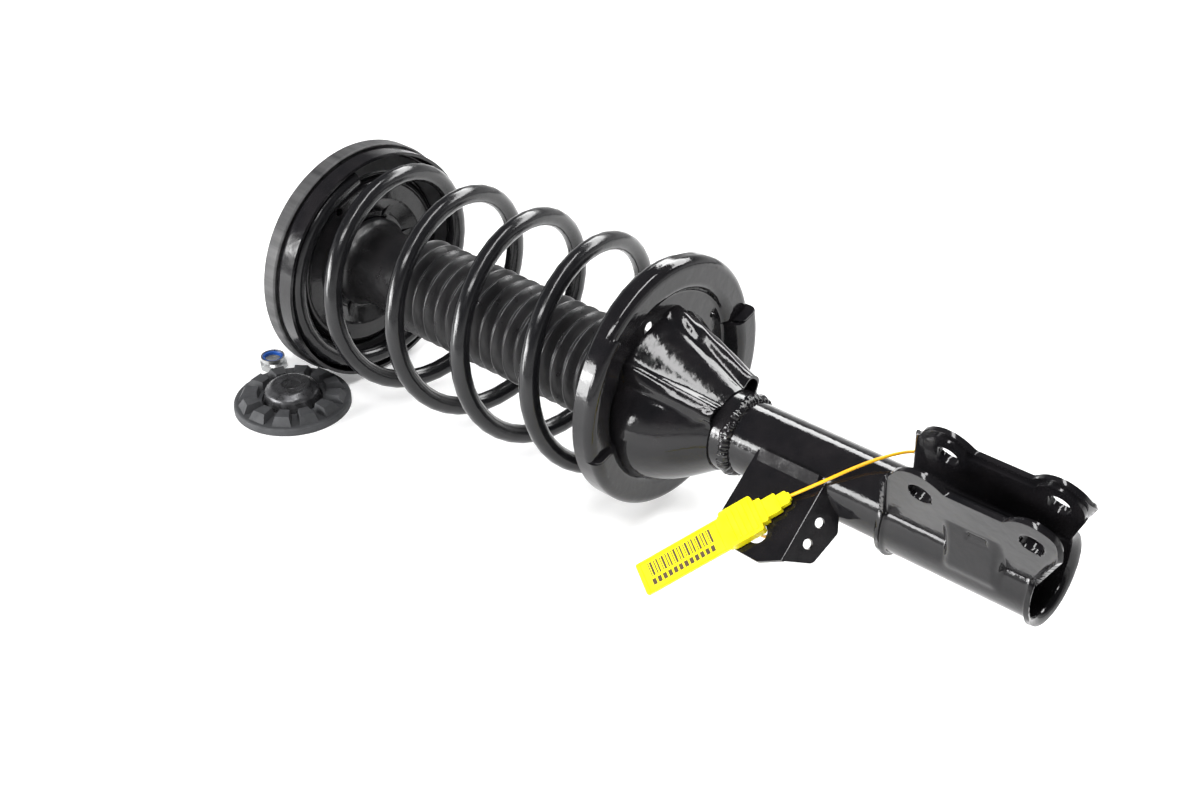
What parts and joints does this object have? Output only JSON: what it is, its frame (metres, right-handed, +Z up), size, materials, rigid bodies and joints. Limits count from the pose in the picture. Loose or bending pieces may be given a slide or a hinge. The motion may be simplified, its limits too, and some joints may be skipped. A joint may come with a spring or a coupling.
{
  "type": "suspension strut assembly",
  "caption": "Suspension strut with side-load coil spring, bellows, rubber top mount and clamp bracket for the wheel knuckle; a loose rebound washer and nut lie beside it.",
  "frame": {"origin": "on the strut axis, in the plane where the top mount meets the tower", "axes": "+X along the strut axis from the tower end to the knuckle end, +Z up as the strut lies on its side"},
  "size_m": [0.705, 0.2319, 0.194],
  "materials": {
    "gloss_black_enamel": "gloss black dipped enamel with orange peel",
    "seat_enamel": "gloss black enamel on pressed steel",
    "spring_powder_coat": "satin gloss black powder coat",
    "bright_steel": "ground steel",
    "spring_steel": "blanked spring steel",
    "chrome_steel": "polished balls",
    "hard_chrome": "hard chrome, ground and polished",
    "sintered_steel": "sintered, matt",
    "bronze_liner": "bronze bush lining",
    "zinc_plate": "zinc plated",
    "seal_rubber": "nitrile, semi-matt",
    "pad_rubber": "moulded rubber, matt",
    "boot_rubber": "soft moulded rubber with a satin skin",
    "mount_rubber": "moulded rubber, dusty matt grey black",
    "washer_rubber": "moulded rubber, matt charcoal",
    "washer_enamel": "thin black phosphate and enamel",
    "bump_foam": "microcellular foam, matt cream",
    "cage_plastic": "glass filled nylon",
    "ptfe_band": "filled PTFE",
    "yellow_plastic": "bright yellow moulded plastic, satin",
    "orange_plastic": "orange yellow nylon strap",
    "blue_nylon": "blue nylon locking ring"
  },
  "bodies": {
    "strut_body": {"strut_tube": "gloss_black_enamel", "base_cap": "gloss_black_enamel", "pressure_tube": "bright_steel", "base_valve": "sintered_steel", "base_valve_shims": "spring_steel", "rod_guide": "sintered_steel", "rod_bushing": "bronze_liner", "rod_seal": "seal_rubber", "strike_cap": "zinc_plate", "lower_spring_seat": "gloss_black_enamel", "lower_spring_pad": "pad_rubber", "seat_support": "gloss_black_enamel", "seat_weld": "gloss_black_enamel", "knuckle_bracket": "gloss_black_enamel", "knuckle_liner": "gloss_black_enamel", "brake_hose_bracket": "gloss_black_enamel", "hose_bracket_weld": "gloss_black_enamel", "coil_spring": "spring_powder_coat", "dust_boot": "boot_rubber", "seal_tag": "yellow_plastic", "seal_strap": "orange_plastic"},
    "upper_seat": {"upper_spring_seat": "seat_enamel", "upper_spring_pad": "pad_rubber", "bearing_lower_race": "bright_steel"},
    "mount_and_rod": {"mount_insulator": "mount_rubber", "mount_core": "zinc_plate", "mount_plate": "zinc_plate", "locating_pin": "zinc_plate", "bearing_upper_race": "bright_steel", "bearing_balls": "chrome_steel", "bearing_cage": "cage_plastic", "piston_rod": "hard_chrome", "rebound_stop": "sintered_steel", "piston": "sintered_steel", "piston_band": "ptfe_band", "piston_shims": "spring_steel", "piston_nut": "zinc_plate", "bump_stop": "bump_foam"},
    "rebound_washer": {"washer_rubber": "washer_rubber", "washer_cup": "washer_enamel"},
    "top_nut": {"loose_nut": "zinc_plate", "nut_insert": "blue_nylon"}
  },
  "joints": [
    {"name": "compression", "type": "slide", "parent": "strut_body", "child": "upper_seat", "axis": [1, 0, 0], "range_m": [0, 0.13], "deforming": ["coil_spring", "dust_boot"]},
    {"name": "steering_swivel", "type": "hinge", "parent": "upper_seat", "child": "mount_and_rod", "pos_m": [0.034, 0, 0], "axis": [1, 0, 0], "range_deg": [-40, 40]},
    {"name": "washer_slide", "type": "slide", "parent": "strut_body", "child": "rebound_washer", "axis": [0, -1, 0], "range_m": [0, 0.12]},
    {"name": "nut_slide", "type": "slide", "parent": "strut_body", "child": "top_nut", "axis": [-1, 0, 0], "range_m": [0, 0.12]}
  ]
}
